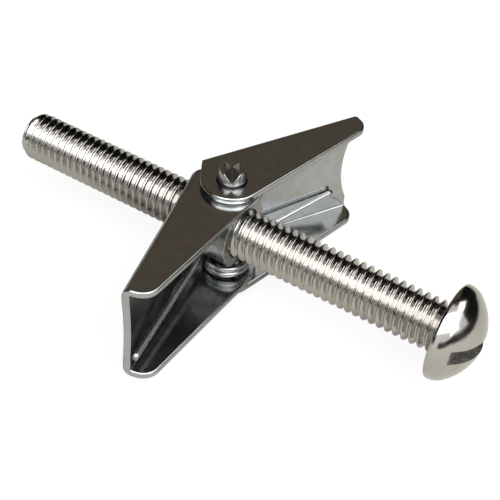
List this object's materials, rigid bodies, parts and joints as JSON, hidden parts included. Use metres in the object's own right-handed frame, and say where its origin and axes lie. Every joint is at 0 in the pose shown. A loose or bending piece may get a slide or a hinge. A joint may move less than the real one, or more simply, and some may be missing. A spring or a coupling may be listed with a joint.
{
  "type": "spring toggle bolt",
  "caption": "Spring toggle bolt: slotted round-head machine screw through a trunnion nut with folded sheet-metal wings that a torsion spring throws open behind a wall.",
  "frame": {"origin": "point on the screw's axis in the plane of the head's underside", "axes": "+X along the screw's axis out of the head; +Z along the wings' hinge axis towards the grooved stake; the wings open to -Y and +Y"},
  "size_m": [0.0622, 0.0408, 0.0175],
  "materials": {
    "screw_zinc": "bright zinc plating",
    "nut_zinc": "bright zinc plating",
    "wing_zinc": "bright zinc plating",
    "spring_wire": "bright zinc plating"
  },
  "bodies": {
    "screw": {"machine_screw": "screw_zinc"},
    "nut": {"trunnion_nut": "nut_zinc", "torsion_spring": "spring_wire"},
    "wing_a": {"inner_wing": "wing_zinc"},
    "wing_b": {"outer_wing": "wing_zinc"}
  },
  "joints": [
    {"name": "nut_travel", "type": "slide", "parent": "screw", "child": "nut", "axis": [1, 0, 0], "range_m": [-0.027, 0.007]},
    {"name": "inner_wing_hinge", "type": "hinge", "parent": "nut", "child": "wing_a", "pos_m": [-0.0282, 0, 0], "axis": [0, 0, 1], "range_deg": [0, 75], "stiffness_Nm_per_rad": 0.006, "springref_deg": -57.3, "deforming": ["torsion_spring"]},
    {"name": "outer_wing_hinge", "type": "hinge", "parent": "nut", "child": "wing_b", "pos_m": [-0.0282, 0, 0], "axis": [0, 0, 1], "range_deg": [-62, 0], "stiffness_Nm_per_rad": 0.006, "springref_deg": 57.3, "deforming": ["torsion_spring"]}
  ]
}
